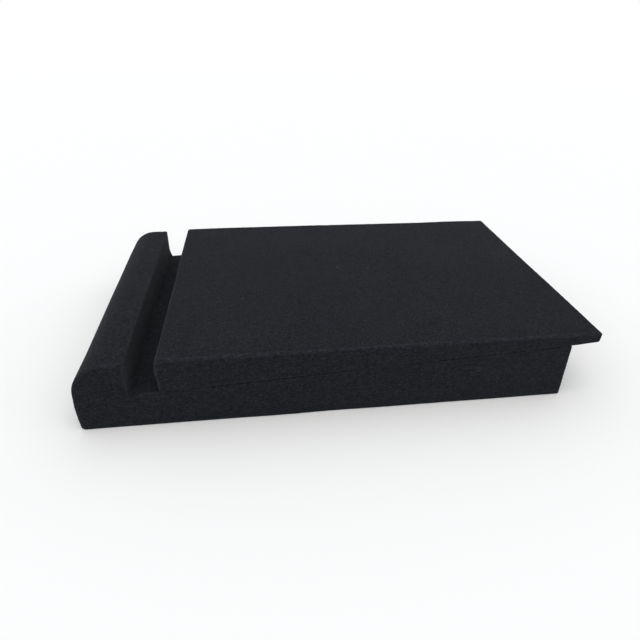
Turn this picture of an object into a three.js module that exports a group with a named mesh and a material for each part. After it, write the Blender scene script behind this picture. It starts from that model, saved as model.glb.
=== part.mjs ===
// A two-piece foam pad that carries a loudspeaker clear of a desk. The base block has a raised lip
// at one end and a bed that climbs away from it. A loose wedge lies on the bed, thick end towards
// the lip, so that its top is level. The wedge is drawn out a little past the open end of the bed,
// which leaves a channel between it and the lip.
// Both pieces are black open-cell polyurethane foam, sawn to one profile across their whole width.
// Sizes are in millimetres. +X runs from the lip to the open end, +Y across the pad and +Z up. The
// origin is at the centre of the base block's underside.

import * as THREE from "three";

// The base block over everything
const padLength = 300;
const padWidth = 200;
const lipHeight = 45;

// The lip: its thickness, its big rounded outer edge and the small round at its foot
const lipWidth = 30;
const lipCrownRadius = 19;
const lipFootRadius = 2.5;

// The bed that the wedge lies on: its height at the lip and at the open end
const bedLowHeight = 23;
const bedHighHeight = 38;

// How far the wedge is drawn out, the gap that keeps it off the bed, and its worn thin edge
const wedgeDrawnOut = 17.3;
const seatGap = 0.3;
const thinEdgeRadius = 2;

// What the saw leaves: a slight round on every sharp edge, and a wider one in the lip's inner foot
const sawnEdgeRadius = 0.8;
const sawnRootRadius = 1.5;

// Matt charcoal-black foam
const foamColor = 0x2c2d31;
const foamRoughness = 0.95;

// Arcs are cut into twice this many straight steps. Two arcs that meet on a side too short for
// both leave this share of it straight.
const arcFineness = 6;
const straightShare = 0.02;

// Places that follow from the sizes
const lipOuterX = -padLength / 2;
const lipInnerX = lipOuterX + lipWidth;
const openEndX = padLength / 2;
const bedLength = openEndX - lipInnerX;
const bedSlope = (bedHighHeight - bedLowHeight) / bedLength;

// Height of the bed's plane at a place along the pad, carried on past its open end.
function bedHeightAt(x) {
  return bedLowHeight + bedSlope * (x - lipInnerX);
}

// How much of a side an arc may take, when the arc at the side's other end would take otherArc.
function roomOnSide(side, otherArc) {
  return (1 - straightShare) * Math.max(side.length() / 2, side.length() - otherArc);
}

// A closed outline in the XZ plane. Its corners are given in order, each with its own radius.
function roundedOutline(corners) {
  const count = corners.length;
  const places = corners.map(({ x, z }) => new THREE.Vector2(x, z));
  const bends = corners.map(({ radius }, i) => {
    const toBefore = places[(i + count - 1) % count].clone().sub(places[i]);
    const toAfter = places[(i + 1) % count].clone().sub(places[i]);
    const halfAngle = toBefore.angleTo(toAfter) / 2;
    return { toBefore, toAfter, halfAngle, reach: radius / Math.tan(halfAngle) };
  });

  const shape = new THREE.Shape();
  bends.forEach(({ toBefore, toAfter, halfAngle, reach }, i) => {
    const reachKept = Math.min(
      reach,
      roomOnSide(toBefore, bends[(i + count - 1) % count].reach),
      roomOnSide(toAfter, bends[(i + 1) % count].reach),
    );
    const radius = reachKept * Math.tan(halfAngle);
    const bisector = toBefore.clone().normalize().add(toAfter.clone().normalize());
    const toCentre = bisector.setLength(radius / Math.sin(halfAngle));
    const startAngle = toBefore.clone().setLength(reachKept).sub(toCentre).angle();
    const endAngle = toAfter.clone().setLength(reachKept).sub(toCentre).angle();
    const turnsInwards = toBefore.cross(toAfter) > 0;
    const centre = toCentre.clone().add(places[i]);
    shape.absarc(centre.x, centre.y, radius, startAngle, endAngle, turnsInwards);
  });
  return shape;
}

// A block of foam with one profile, sawn straight across the whole width of the pad.
function foamBlock(name, corners) {
  const geometry = new THREE.ExtrudeGeometry(roundedOutline(corners), {
    depth: padWidth,
    curveSegments: arcFineness,
    bevelEnabled: false,
  });
  const foam = new THREE.MeshStandardMaterial({
    color: foamColor,
    roughness: foamRoughness,
    metalness: 0,
  });
  const block = new THREE.Mesh(geometry, foam);
  block.name = name;
  block.rotation.x = Math.PI / 2;
  block.position.y = padWidth / 2;
  return block;
}

// The base block's profile runs along the underside, up the open end, down the bed to the lip's
// foot, up the lip's inner face and over its crown.
function baseBlock() {
  return foamBlock("base_block", [
    { x: lipOuterX, z: 0, radius: lipFootRadius },
    { x: openEndX, z: 0, radius: sawnEdgeRadius },
    { x: openEndX, z: bedHighHeight, radius: sawnEdgeRadius },
    { x: lipInnerX, z: bedLowHeight, radius: sawnRootRadius },
    { x: lipInnerX, z: lipHeight, radius: sawnEdgeRadius },
    { x: lipOuterX, z: lipHeight, radius: lipCrownRadius },
  ]);
}

// The wedge is as long as the bed, and thick enough to bring it up to the lip's height: pushed
// home against the lip, it lies flush with it. Drawn out, it has climbed the bed by its slope.
function wedgeInsert() {
  const thickEndX = lipInnerX + wedgeDrawnOut;
  const thinEndX = thickEndX + bedLength;
  const topHeight = lipHeight + bedSlope * wedgeDrawnOut + seatGap;
  return foamBlock("wedge_insert", [
    { x: thickEndX, z: bedHeightAt(thickEndX) + seatGap, radius: sawnEdgeRadius },
    { x: thinEndX, z: bedHeightAt(thinEndX) + seatGap, radius: thinEdgeRadius },
    { x: thinEndX, z: topHeight, radius: sawnEdgeRadius },
    { x: thickEndX, z: topHeight, radius: sawnEdgeRadius },
  ]);
}

const isolationPad = new THREE.Group();
isolationPad.add(baseBlock(), wedgeInsert());

export default isolationPad;
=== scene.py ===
import bpy
import numpy as np
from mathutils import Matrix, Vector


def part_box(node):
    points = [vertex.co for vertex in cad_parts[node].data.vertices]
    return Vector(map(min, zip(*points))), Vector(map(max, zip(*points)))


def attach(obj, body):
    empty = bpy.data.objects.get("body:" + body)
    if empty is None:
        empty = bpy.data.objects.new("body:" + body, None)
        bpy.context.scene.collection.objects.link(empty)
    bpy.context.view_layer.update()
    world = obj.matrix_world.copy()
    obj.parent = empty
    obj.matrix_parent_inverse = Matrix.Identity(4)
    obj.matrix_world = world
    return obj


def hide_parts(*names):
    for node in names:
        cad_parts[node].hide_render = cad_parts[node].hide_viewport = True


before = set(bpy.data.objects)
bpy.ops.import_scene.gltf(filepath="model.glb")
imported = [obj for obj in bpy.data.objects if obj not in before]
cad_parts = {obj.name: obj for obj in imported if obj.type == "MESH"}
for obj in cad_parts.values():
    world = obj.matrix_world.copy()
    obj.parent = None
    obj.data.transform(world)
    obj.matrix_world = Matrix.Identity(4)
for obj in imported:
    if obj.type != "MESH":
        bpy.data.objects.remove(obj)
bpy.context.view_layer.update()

mm = 0.001
base_low, base_high = (np.array(corner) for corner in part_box("base_block"))
lip_width = 30 * mm
lip_crown_radius = 19 * mm
lip_foot_radius = 2.5 * mm
lip_inner_edge_radius = 1.4 * mm
channel_root_radius = 1.5 * mm
sawn_corner_radius = 1.1 * mm
sawn_rim_radius = 0.8 * mm
bed_low_height = 23 * mm
bed_high_height = 38 * mm
lip_inner_x = base_low[0] + lip_width
pad_width = base_high[1] - base_low[1]


def rounded_outline(corners, arc_points=25):
    """The closed outline through corners of (x, z, radius), taken anticlockwise, as the points and the
    outward normals of one arc for each corner. The normal n turns evenly from one side's to the
    next one's, and a point is centre + radius n, or centre - radius n where the outline turns in."""
    place = np.array([corner[:2] for corner in corners])
    radius = np.array([corner[2:] for corner in corners])
    leaving = np.roll(place, -1, 0) - place
    leaving /= np.linalg.norm(leaving, axis=1, keepdims=True)
    arriving = np.roll(leaving, 1, 0)
    crossed = arriving[:, :1] * leaving[:, 1:] - arriving[:, 1:] * leaving[:, :1]
    turn = np.arctan2(crossed, (arriving * leaving).sum(1, keepdims=True))
    heading = np.arctan2(arriving[:, 1:], arriving[:, :1]) + turn * np.linspace(0, 1, arc_points)
    normal = np.stack([np.sin(heading), -np.cos(heading)], -1)
    bend = np.sign(turn) * radius
    centre = place - arriving * radius * np.tan(abs(turn) / 2) - bend * normal[:, 0]
    return centre[:, None] + bend[..., None] * normal, normal


fine_step = 0.3 * mm
step_growth = 0.15
table_points = 4000


def graded_places(length, edges, fine, coarse, growth, count=None):
    """Places from 0 to length, and how far each is from the nearest edge. The step grows from fine at
    an edge to coarse far from one, and the places cut the running total of 1 / step evenly."""
    table = np.linspace(0, length, table_points)
    from_edge = abs(table[:, None] - np.asarray(edges)).min(1)
    step = np.clip(fine + growth * from_edge, fine, coarse)
    total = np.concatenate([[0], np.cumsum(np.diff(table) * 2 / (step[1:] + step[:-1]))])
    count = count or int(np.ceil(total[-1]))
    place = np.interp(np.linspace(0, total[-1], count + 1), total, table)
    return place, np.interp(place, table, from_edge)


def chain(arcs, normals, first, last, sharp, coarse, count=None):
    """Points along the outline from the middle of one corner's arc to the middle of another's, with
    their outward normals and their distance from the nearest of the sharp corners. The graded
    places count the length run along the arcs, and each is read off between the arcs' points."""
    per_corner = arcs.shape[1]
    last_corner = len(arcs) + last if last <= first else last
    dense = np.arange(first * per_corner, last_corner * per_corner + 1) + per_corner // 2
    path = arcs.reshape(-1, 2)[dense % arcs[..., 0].size]
    path_normal = normals.reshape(-1, 2)[dense % arcs[..., 0].size]
    run = np.concatenate([[0], np.cumsum(np.linalg.norm(np.diff(path, axis=0), axis=1))])
    corner = np.arange(first, last_corner + 1)
    edges = run[(corner - first) * per_corner][np.isin(corner % len(arcs), sharp)]
    place, from_edge = graded_places(run[-1], edges, fine_step, coarse, step_growth, count)
    point = np.stack([np.interp(place, run, column) for column in path.T], 1)
    normal = np.stack([np.interp(place, run, column) for column in path_normal.T], 1)
    return point, normal / np.linalg.norm(normal, axis=1, keepdims=True), from_edge


end_pull = 6


def cap_points(bottom, right, top, left):
    """The flat end of a block: straight rules from its bottom chain to its top chain. The first and
    last rules are moved onto the left and right chains, and a rule a share t of the way along moves
    by (1 - t) to the power end_pull of the first one's move, and t to that power of the last's."""
    def share(side):
        run = np.cumsum(np.linalg.norm(np.diff(side, axis=0), axis=1))
        return np.concatenate([[0], run / run[-1]])
    rise = ((share(left) + share(right)) / 2)[None, :, None]
    rules = (1 - rise) * bottom[:, None] + rise * top[:, None]
    along = np.linspace(0, 1, len(bottom))[:, None, None]
    to_left = (1 - along) ** end_pull * (left - rules[0])
    to_right = along ** end_pull * (right - rules[-1])
    return rules + to_left + to_right


rim_points = 6
pressed_share = 0.25


def sawn_block(corners, sides, sharp, pressed, width, coarse):
    """A prism of one outline with a small round along the rims of its two ends, as points, quads and
    each point's distance from the nearest sawn edge. The outline is carried across the width: in
    the quarter round of a rim it is drawn in along its normals by radius (1 - cos a) while it moves
    by radius (1 - sin a), and each end is closed by a cap that shares the last outline's points.
    Along the side that starts at the pressed corner the drawing in falls to pressed_share."""
    arcs, normals = rounded_outline(corners)
    lower_left, lower_right, upper_right, upper_left = sides
    top = chain(arcs, normals, upper_right, upper_left, sharp, coarse)
    left = chain(arcs, normals, upper_left, lower_left, sharp, coarse)
    columns, rows = len(top[0]) - 1, len(left[0]) - 1
    bottom = chain(arcs, normals, lower_left, lower_right, sharp, coarse, columns)
    right = chain(arcs, normals, lower_right, upper_right, sharp, coarse, rows)
    ring, ring_normal, ring_edge = (
        np.concatenate([bottom[i][:-1], right[i][:-1], top[i][:-1], left[i][:-1]]) for i in range(3)
    )

    rim_angle = np.linspace(np.pi / 2, 0, rim_points)
    rim_move = sawn_rim_radius * (1 - np.sin(rim_angle))
    rim_inset = sawn_rim_radius * (1 - np.cos(rim_angle))
    pressed_start, pressed_end = (np.array(corners[(pressed + i) % len(corners)][:2]) for i in range(2))
    side_x, side_z = (pressed_end - pressed_start) / np.linalg.norm(pressed_end - pressed_start)
    from_start = ring - pressed_start
    off_side = abs(side_x * from_start[:, 1] - side_z * from_start[:, 0])
    kept_round = np.clip(off_side / sawn_rim_radius / 2, pressed_share, 1)
    flat = width - 2 * sawn_rim_radius
    flat_place, flat_edge = graded_places(flat, [0, flat], fine_step, coarse, step_growth)
    flat_place = sawn_rim_radius + flat_place[1:-1]
    move = np.concatenate([rim_move, flat_place, width - rim_move[::-1]]) - width / 2
    inset = np.concatenate([rim_inset, 0 * flat_place, rim_inset[::-1]])
    rim_edge = np.concatenate([0 * rim_move, flat_edge[1:-1], 0 * rim_move])
    section = ring[:, None] - ring_normal[:, None] * inset[:, None] * kept_round[:, None, None]
    skin = np.stack([section[..., 0], np.broadcast_to(move, section.shape[:2]), section[..., 1]], -1)
    skin_edge = np.minimum(ring_edge[:, None], rim_edge)

    end_ring = section[:, 0]
    turn_right, turn_back, turn_down = columns, columns + rows, 2 * columns + rows
    loop = np.arange(len(ring) + 1) % len(ring)
    border = (
        loop[:turn_right + 1],
        loop[turn_right:turn_back + 1],
        loop[turn_back:turn_down + 1][::-1],
        loop[turn_down:][::-1],
    )
    cap = cap_points(*(end_ring[side] for side in border))[1:-1, 1:-1].reshape(-1, 2)
    cap_edge = np.linalg.norm(cap[:, None] - end_ring, axis=2).min(1)
    cap_y = np.full(len(cap), width / 2)
    front, back = (np.stack([cap[:, 0], side * cap_y, cap[:, 1]], 1) for side in (-1, 1))

    across = len(move)
    skin_index = np.arange(skin[..., 0].size).reshape(-1, across)
    ahead = np.roll(skin_index, -1, 0)
    skin_quads = np.stack([skin_index[:, :-1], skin_index[:, 1:], ahead[:, 1:], ahead[:, :-1]], -1)
    quads = [skin_quads.reshape(-1, 4)]
    front_cap, back_cap = skin_index.size, skin_index.size + len(cap)
    for last_outline, first_point, order in ((0, front_cap, 1), (across - 1, back_cap, -1)):
        index = np.empty((columns + 1, rows + 1), int)
        index[:, 0], index[-1], index[:, -1], index[0] = (skin_index[side, last_outline] for side in border)
        index[1:-1, 1:-1] = first_point + np.arange(len(cap)).reshape(columns - 1, rows - 1)
        around = np.stack([index[:-1, :-1], index[1:, :-1], index[1:, 1:], index[:-1, 1:]], -1)
        quads.append(around.reshape(-1, 4)[:, ::order])
    points = np.concatenate([skin.reshape(-1, 3), front, back])
    return points, np.concatenate(quads), np.concatenate([skin_edge.ravel(), cap_edge, cap_edge])


lattice_side = 64


def rough_field(point, cell, seed):
    """Smooth random numbers from -1 to 1: every corner of a cubic lattice of that cell holds one, and
    a point blends the eight around it, weighted by 3 t^2 - 2 t^3 along each axis."""
    lattice = np.random.default_rng(seed).uniform(-1, 1, (lattice_side, lattice_side, lattice_side))
    base = np.floor(point / cell).astype(int)
    t = point / cell - base
    t = t * t * (3 - 2 * t)
    total = np.zeros(len(point))
    for corner in np.ndindex(2, 2, 2):
        weight = np.where(corner, t, 1 - t).prod(1)
        total += weight * lattice[tuple(((base + corner) % lattice_side).T)]
    return total


edge_reach = 0.65 * mm
wave_height = 0.3 * mm
wave_length = 34 * mm
face_tearing = 0.05 * mm
edge_tearing = 0.05 * mm
tearing_length = 2.6 * mm


def foam_piece(name, points, quads, from_edge, seated, seed):
    """The block's mesh with the saw's unevenness: each point moves along its normal by long waves and
    fine tearing, each its height times a rough field. The tearing is strongest on a sawn edge, and
    the edge's share is exp(-(distance / edge_reach)^2). Where seated is 1 the foam rests on
    something, so there it moves only sideways and its edges aren't torn."""
    mesh = bpy.data.meshes.new(name)
    mesh.from_pydata(points.tolist(), [], quads.tolist())
    mesh.update()
    normals = np.empty(points.size)
    mesh.vertex_normals.foreach_get("vector", normals)
    edge = np.exp(-(from_edge / edge_reach) ** 2) * (1 - seated)
    waves = wave_height * rough_field(points, wave_length, seed)
    tearing = (face_tearing + edge_tearing * edge) * rough_field(points, tearing_length, seed + 1)
    move = normals.reshape(-1, 3) * (waves + tearing)[:, None]
    move[:, 2] *= 1 - seated
    mesh.vertices.foreach_set("co", (points + move).ravel())
    mesh.attributes.new("sawn_edge", "FLOAT", "POINT").data.foreach_set("value", edge)
    mesh.shade_smooth()
    piece = bpy.data.objects.new(name, mesh)
    bpy.context.scene.collection.objects.link(piece)
    return piece


base_corners = [
    (base_low[0], base_low[2], lip_foot_radius),
    (base_high[0], base_low[2], sawn_corner_radius),
    (base_high[0], bed_high_height, sawn_corner_radius),
    (lip_inner_x, bed_low_height, channel_root_radius),
    (lip_inner_x, base_high[2], lip_inner_edge_radius),
    (base_low[0], base_high[2], lip_crown_radius),
]
base_coarse_step = 1.8 * mm
points, quads, from_edge = sawn_block(
    base_corners,
    sides=(0, 1, 2, 5),
    sharp=(0, 1, 2, 3, 4),
    pressed=2,
    width=pad_width,
    coarse=base_coarse_step,
)

# The lip's outer face swells a little low down, most at the near end.
swell = 1.0 * mm
swell_height = 14 * mm
swell_spread = 13 * mm
swell_far_share = 0.35
outwards = np.clip((lip_inner_x - points[:, 0]) / lip_width, 0, 1) ** 2
upright = np.exp(-((points[:, 2] - swell_height) / swell_spread) ** 2)
nearness = np.clip((base_high[1] - points[:, 1]) / pad_width, 0, 1)
share = swell_far_share + (1 - swell_far_share) * nearness
points[:, 0] -= swell * outwards * upright * share

# The channel's bed sags a little towards its far end.
wedge_low, wedge_high = (np.array(corner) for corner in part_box("wedge_insert"))
bed_slope = (bed_high_height - bed_low_height) / (base_high[0] - lip_inner_x)
bed_height = bed_low_height + bed_slope * (points[:, 0] - lip_inner_x)
touch_depth = 1.5 * mm
sag = 1.5 * mm
sag_reach = 14 * mm
sag_depth = 8 * mm
clear_of_wedge = np.clip((wedge_low[0] - points[:, 0]) / touch_depth, 0, 1)
near_bed = np.clip(1 - abs(bed_height - points[:, 2]) / sag_depth, 0, 1)
in_channel = clear_of_wedge * np.clip((points[:, 0] - lip_inner_x) / touch_depth + 1, 0, 1)
at_far_end = np.exp(-((base_high[1] - points[:, 1]) / sag_reach) ** 2)
points[:, 2] -= sag * near_bed * in_channel * at_far_end

# The underside rests on the desk, and the bed carries the wedge. The channel's root was turned by the
# saw without tearing, so it counts as seated too.
root_reach = 4 * mm
above_desk = np.clip(points[:, 2] / touch_depth, 0, 1)
below_bed = np.clip((bed_height - points[:, 2]) / touch_depth, 0, 1)
from_root = np.hypot(points[:, 0] - lip_inner_x, points[:, 2] - bed_low_height)
out_of_root = np.clip(from_root / root_reach, 0, 1)
seated = 1 - np.maximum(below_bed, clear_of_wedge) * above_desk * out_of_root
base_foam = foam_piece("base_foam", points, quads, from_edge, seated, seed=1)


def new_sockets(group, direction, sockets):
    """Named sockets on a node group, each given as name: (type, default)."""
    for name, (kind, default) in sockets.items():
        socket = group.interface.new_socket(name, in_out=direction, socket_type=kind)
        if default is not None:
            socket.default_value = default


def node(tree, kind, inputs=None, **settings):
    """A node with its settings, and with each named or numbered input set or linked."""
    made = tree.nodes.new(kind)
    for name, value in settings.items():
        setattr(made, name, value)
    for name, value in (inputs or {}).items():
        if isinstance(value, bpy.types.NodeSocket):
            tree.links.new(value, made.inputs[name])
        else:
            made.inputs[name].default_value = value
    return made


def reckon(tree, operation, first, second):
    """The result of a Math node on values or sockets."""
    return node(tree, "ShaderNodeMath", {0: first, 1: second}, operation=operation).outputs[0]


def smooth_step(tree, value, low, high):
    """Rises from 0 at low to 1 at high."""
    limits = {"Value": value, "From Min": low, "From Max": high}
    return node(tree, "ShaderNodeMapRange", limits, interpolation_type="SMOOTHSTEP").outputs["Result"]


def blend_colour(tree, share, first, second):
    """The first colour, turning into the second as share goes from 0 to 1."""
    colours = {0: share, 6: first, 7: second}
    return node(tree, "ShaderNodeMix", colours, data_type="RGBA").outputs[2]


# Cut foam shows its open cells. Each is a dark pore in a rim of paler struts, a little flattened, and
# no two are equally deep. A few burst cells leave a darker pit, and a few bits of lint lie on the
# foam. Along a sawn edge the struts are torn and stand up as fuzz, and a paler colour is painted on
# them there: a painted highlight for the light the fuzz catches. The brightness varies in flecks a
# millimetre across and in faint clouds some centimetres across.
cells_per_metre = 1450
cell_flattening = (0.9, 0.9, 1.4)
grit_per_metre = 420.0
flecks_per_metre = 850.0
clouds_per_metre = 22.0
strays_per_metre = 60.0
strut_begins, strut_ends = 0.02, 0.14
strut_strength = 0.8
darkest = 0.02
cloud_swing = 0.3
fleck_swing = 1.65
stray_core, stray_rim = 0.025, 0.055
pit_share = 0.35
lint_share = 0.2
# The grit values at which the painted highlight on the sawn edges begins and is full.
no_lit_fuzz, full_lit_fuzz = 0.1, 0.8
grit_height = 0.6
strut_gloss = 0.12

open_cells = bpy.data.node_groups.new("open_cells", "ShaderNodeTree")
new_sockets(open_cells, "INPUT", {
    "Strut Colour": ("NodeSocketColor", (0.03, 0.03, 0.03, 1)),
    "Pore Colour": ("NodeSocketColor", (0.01, 0.01, 0.01, 1)),
    # This paler colour is a painted highlight, laid on the torn struts along the sawn edges.
    "Edge Highlight Colour": ("NodeSocketColor", (0.06, 0.06, 0.06, 1)),
    "Lint Colour": ("NodeSocketColor", (0.12, 0.12, 0.12, 1)),
    "Cells per Metre": ("NodeSocketFloat", cells_per_metre),
})
new_sockets(open_cells, "OUTPUT", {
    "Colour": ("NodeSocketColor", None),
    "Height": ("NodeSocketFloat", None),
    "Roughness": ("NodeSocketFloat", None),
})
given = open_cells.nodes.new("NodeGroupInput").outputs
place = open_cells.nodes.new("ShaderNodeTexCoord").outputs["Object"]
shape = {0: place, 1: cell_flattening}
flattened = node(open_cells, "ShaderNodeVectorMath", shape, operation="MULTIPLY").outputs[0]
cell_place = {"Vector": flattened, "Scale": given["Cells per Metre"]}
stray_place = {"Vector": place, "Scale": strays_per_metre}
grit_place = {"Vector": flattened, "Scale": grit_per_metre, "Detail": 3.0}
fleck_place = {"Vector": flattened, "Scale": flecks_per_metre, "Detail": 1.0}
cloud_place = {"Vector": place, "Scale": clouds_per_metre, "Detail": 2.0}
walls = node(open_cells, "ShaderNodeTexVoronoi", cell_place, feature="DISTANCE_TO_EDGE").outputs
cells = node(open_cells, "ShaderNodeTexVoronoi", cell_place, feature="F1").outputs
strays = node(open_cells, "ShaderNodeTexVoronoi", stray_place, feature="F1").outputs
grit = node(open_cells, "ShaderNodeTexNoise", grit_place).outputs["Fac"]
flecks = node(open_cells, "ShaderNodeTexNoise", fleck_place).outputs["Fac"]
clouds = node(open_cells, "ShaderNodeTexNoise", cloud_place).outputs["Fac"]

pore = smooth_step(open_cells, walls["Distance"], strut_begins, strut_ends)
strut = reckon(open_cells, "SUBTRACT", 1.0, pore)
shallow_pore = node(open_cells, "ShaderNodeSeparateColor", {"Color": cells["Color"]}).outputs[0]
solid_strut = reckon(open_cells, "MULTIPLY", strut, strut_strength)
solid_share = reckon(open_cells, "MAXIMUM", solid_strut, shallow_pore)
foam_tone = blend_colour(open_cells, solid_share, given["Pore Colour"], given["Strut Colour"])
clouded = reckon(open_cells, "MULTIPLY", clouds, cloud_swing)
flecked = reckon(open_cells, "MULTIPLY", flecks, fleck_swing)
brightness = reckon(open_cells, "ADD", darkest, reckon(open_cells, "ADD", clouded, flecked))
uneven = {0: foam_tone, "Scale": brightness}
uneven_tone = node(open_cells, "ShaderNodeVectorMath", uneven, operation="SCALE").outputs[0]

stray_kind = node(open_cells, "ShaderNodeSeparateColor", {"Color": strays["Color"]}).outputs[0]
off_stray = smooth_step(open_cells, strays["Distance"], stray_core, stray_rim)
stray_spot = reckon(open_cells, "SUBTRACT", 1.0, off_stray)
is_pit = reckon(open_cells, "LESS_THAN", stray_kind, pit_share)
is_lint = reckon(open_cells, "GREATER_THAN", stray_kind, 1 - lint_share)
pit = reckon(open_cells, "MULTIPLY", stray_spot, is_pit)
lint = reckon(open_cells, "MULTIPLY", stray_spot, is_lint)
pitted_tone = blend_colour(open_cells, pit, uneven_tone, given["Pore Colour"])
spotted_tone = blend_colour(open_cells, lint, pitted_tone, given["Lint Colour"])

# Along the sawn edges the torn struts get the paler colour: a painted highlight for the light their fuzz
# catches.
edge = node(open_cells, "ShaderNodeAttribute", attribute_name="sawn_edge").outputs["Fac"]
lit_fuzz = smooth_step(open_cells, grit, no_lit_fuzz, full_lit_fuzz)
lit_struts = reckon(open_cells, "MULTIPLY", solid_share, lit_fuzz)
edge_highlight_share = reckon(open_cells, "MULTIPLY", edge, lit_struts)
highlighted_tone = blend_colour(open_cells, edge_highlight_share, spotted_tone, given["Edge Highlight Colour"])
height = reckon(open_cells, "ADD", solid_share, reckon(open_cells, "MULTIPLY", grit, grit_height))
dullness = reckon(open_cells, "SUBTRACT", 1.0, reckon(open_cells, "MULTIPLY", strut, strut_gloss))
node(open_cells, "NodeGroupOutput", {"Colour": highlighted_tone, "Height": height, "Roughness": dullness})


cell_depth = 0.22 * mm


def cut_foam(name, struts, pores, edge_highlight, lint):
    """Matt foam whose tone, roughness and relief come from open_cells, with a paler colour painted along
    its sawn edges as a painted highlight, and a faint sheen of loose struts."""
    material = bpy.data.materials.new(name)
    material.use_nodes = True
    tree = material.node_tree
    surface = tree.nodes["Principled BSDF"]
    surface.inputs["Specular IOR Level"].default_value = 0.04
    surface.inputs["Sheen Weight"].default_value = 0.065
    surface.inputs["Sheen Tint"].default_value = (0.94, 0.97, 1.0, 1)
    surface.inputs["Sheen Roughness"].default_value = 0.3
    # The torn colour is the painted highlight along the sawn edges.
    colours = {"Strut Colour": struts, "Pore Colour": pores, "Edge Highlight Colour": edge_highlight, "Lint Colour": lint}
    foam = node(tree, "ShaderNodeGroup", node_tree=open_cells)
    for socket, colour in colours.items():
        foam.inputs[socket].default_value = (*colour, 1)
    relief = node(tree, "ShaderNodeBump", {"Height": foam.outputs["Height"], "Distance": cell_depth})
    tree.links.new(foam.outputs["Colour"], surface.inputs["Base Color"])
    tree.links.new(foam.outputs["Roughness"], surface.inputs["Roughness"])
    tree.links.new(relief.outputs["Normal"], surface.inputs["Normal"])
    return material


black_struts = (0.0201, 0.0221, 0.0264)
black_pores = (0.0050, 0.0057, 0.0077)
# A paler grey painted on the torn struts along the sawn edges: a painted highlight.
edge_highlight_grey = (0.034, 0.0365, 0.043)
pale_lint = (0.08, 0.08, 0.09)
base_foam.data.materials.append(
    cut_foam("base_black_foam", black_struts, black_pores, edge_highlight_grey, pale_lint)
)
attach(base_foam, "root")
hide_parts("base_block")

# Wedge: a loose tapered slab of the same foam, sawn the same way. It lies on the climbing bed with
# its thick end towards the lip, so that its top is level, and it is drawn out past the open end,
# where its thin edge curls up a little.
wedge_corner_radius = 1.1 * mm
thick_end_crown_radius = 2.4 * mm
thin_edge_radius = 2 * mm
cad_seat_gap = 0.3 * mm
settled = 0.15 * mm
seat_gap = cad_seat_gap - settled
thin_end_height = bed_high_height + seat_gap + bed_slope * (wedge_high[0] - base_high[0])
wedge_corners = [
    (wedge_low[0], wedge_low[2] - settled, wedge_corner_radius),
    (wedge_high[0], thin_end_height, thin_edge_radius),
    (wedge_high[0], wedge_high[2], wedge_corner_radius),
    (wedge_low[0], wedge_high[2], thick_end_crown_radius),
]
wedge_width = wedge_high[1] - wedge_low[1]
wedge_coarse_step = 1.35 * mm
points, quads, from_edge = sawn_block(
    wedge_corners,
    sides=(0, 1, 2, 3),
    sharp=(0, 1, 2, 3),
    pressed=0,
    width=wedge_width,
    coarse=wedge_coarse_step,
)

# The thick end bulges a little, most at its near side. The thin end has curled up off the bed, so its
# underside lifts while its top stays level, and it has been drawn out a little at its near corner.
bulge = 0.9 * mm
bulge_height = 14 * mm
bulge_spread = 9 * mm
bulge_reach = 20 * mm
bulge_far_share = 0.3
curl = 0.6 * mm
curl_reach = 45 * mm
drawn_out = 1.1 * mm
underside = bed_low_height + bed_slope * (points[:, 0] - lip_inner_x) + seat_gap
below_top = np.clip((wedge_high[2] - points[:, 2]) / (wedge_high[2] - underside), 0, 1)
out_to_tip = np.clip(1 - (wedge_high[0] - points[:, 0]) / curl_reach, 0, 1) ** 2
points[:, 2] += curl * below_top * out_to_tip
nearness = np.clip((wedge_high[1] - points[:, 1]) / wedge_width, 0, 1)
points[:, 0] += drawn_out * out_to_tip * nearness
at_thick_end = np.clip(1 - (points[:, 0] - wedge_low[0]) / bulge_reach, 0, 1) ** 2
upright = np.exp(-((points[:, 2] - wedge_low[2] - bulge_height) / bulge_spread) ** 2)
share = bulge_far_share + (1 - bulge_far_share) * nearness
points[:, 0] -= bulge * at_thick_end * upright * share
seated = np.clip(1 - (points[:, 2] - underside) / touch_depth, 0, 1)
wedge_foam = foam_piece("wedge_foam", points, quads, from_edge, seated, seed=11)
wedge_foam.data.materials.append(
    cut_foam("wedge_black_foam", black_struts, black_pores, edge_highlight_grey, pale_lint)
)
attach(wedge_foam, "root")
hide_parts("wedge_insert")

# Floor: a plain white sweep that the pad stands on, wide enough to reach the horizon. It keeps the
# pad's soft shadow, and away from the pad it turns to the plain white that lies behind it.
floor_reach = 40.0
floor_mesh = bpy.data.meshes.new("floor")
floor_corners = np.array([(-1, -1, 0), (1, -1, 0), (1, 1, 0), (-1, 1, 0)]) * floor_reach
floor_mesh.from_pydata(floor_corners.tolist(), [], [(0, 1, 2, 3)])
floor = bpy.data.objects.new("floor", floor_mesh)
bpy.context.scene.collection.objects.link(floor)


def seen_directly(tree):
    """1 for what the camera sees, straight or through gloss or glass, and 0 for what lights the pad."""
    rays = node(tree, "ShaderNodeLightPath").outputs
    mirrored = reckon(tree, "MAXIMUM", rays["Is Glossy Ray"], rays["Is Transmission Ray"])
    return reckon(tree, "MAXIMUM", rays["Is Camera Ray"], mirrored)


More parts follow.
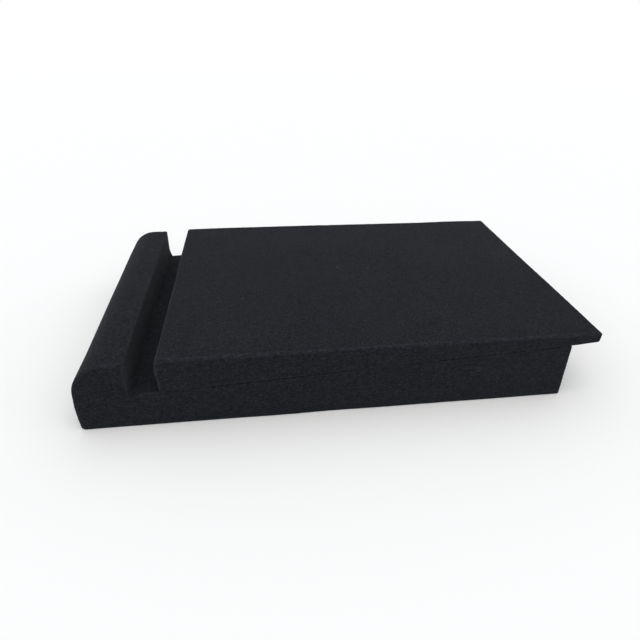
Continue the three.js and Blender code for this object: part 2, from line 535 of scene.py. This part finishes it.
white_floor = bpy.data.materials.new("white_floor")
white_floor.use_nodes = True
sweep = white_floor.node_tree
matt_white = sweep.nodes["Principled BSDF"]
matt_white.inputs["Base Color"].default_value = (0.93, 0.92, 0.91, 1)
matt_white.inputs["Roughness"].default_value = 1.0
matt_white.inputs["Specular IOR Level"].default_value = 0.0
shadow_reach = 0.35
white_from = 2.5
floor_place = node(sweep, "ShaderNodeTexCoord").outputs["Object"]
away = node(sweep, "ShaderNodeVectorMath", {0: floor_place}, operation="LENGTH").outputs["Value"]
past_shadow = smooth_step(sweep, away, shadow_reach, white_from)
whitened = reckon(sweep, "MULTIPLY", seen_directly(sweep), past_shadow)
plain_white = node(sweep, "ShaderNodeEmission", {"Color": (1, 1, 1, 1), "Strength": 1.0})
swept = {0: whitened, 1: matt_white.outputs[0], 2: plain_white.outputs[0]}
sweep.links.new(
    node(sweep, "ShaderNodeMixShader", swept).outputs[0],
    sweep.nodes["Material Output"].inputs["Surface"],
)
floor_mesh.materials.append(white_floor)

# Studio: an even, slightly cool surround, and one broad, slightly warm light from nearly overhead, a
# little towards the pad's near side. What the camera sees past the floor is plain white.
world = bpy.data.worlds.new("studio")
world.use_nodes = True
bpy.context.scene.world = world
sky = world.node_tree
sky.nodes.clear()
surround = node(sky, "ShaderNodeBackground", {"Color": (0.96, 1.00, 1.04, 1), "Strength": 0.88})
white = node(sky, "ShaderNodeBackground", {"Color": (1, 1, 1, 1), "Strength": 1.0})
seen_or_lighting = {0: seen_directly(sky), 1: surround.outputs[0], 2: white.outputs[0]}
shown = node(sky, "ShaderNodeMixShader", seen_or_lighting)
node(sky, "ShaderNodeOutputWorld", {"Surface": shown.outputs[0]})

from mathutils import Matrix, Vector

key_light = bpy.data.lights.new("key_light", "SUN")
key_light.energy = 0.7
key_light.angle = np.radians(50)
key_light.color = (1.0, 0.93, 0.85)
key_lamp = bpy.data.objects.new("key_lamp", key_light)
towards_key = Vector((0.08, -0.25, 1.0))
key_lamp.rotation_euler = towards_key.to_track_quat("Z", "Y").to_euler()
bpy.context.scene.collection.objects.link(key_lamp)

# Camera: it looks down on the pad's near long side from a little left of its middle.
image_width = 640
focal_pixels = 526.95
optical_centre = (335.5, 321.3)
camera_place = np.array([-41.01, -350.29, 218.88]) * mm
yaw, pitch, roll = np.radians([9.043, 31.151, -1.604])
forward = Vector((np.sin(yaw) * np.cos(pitch), np.cos(yaw) * np.cos(pitch), -np.sin(pitch)))
level = Vector((np.cos(yaw), -np.sin(yaw), 0))
down = forward.cross(level)
right = level * np.cos(roll) + down * np.sin(roll)
up = level * np.sin(roll) - down * np.cos(roll)
camera = bpy.data.objects.new("camera", bpy.data.cameras.new("camera"))
facing = Matrix((right, up, -forward)).transposed()
camera.matrix_world = Matrix.Translation(camera_place) @ facing.to_4x4()
camera.data.sensor_width = 36
camera.data.lens = camera.data.sensor_width * focal_pixels / image_width
camera.data.shift_x = (image_width / 2 - optical_centre[0]) / image_width
camera.data.shift_y = (optical_centre[1] - image_width / 2) / image_width
camera.data.clip_start = 0.01
camera.data.clip_end = 200
bpy.context.scene.collection.objects.link(camera)
bpy.context.scene.camera = camera
bpy.context.scene.view_settings.view_transform = "Standard"
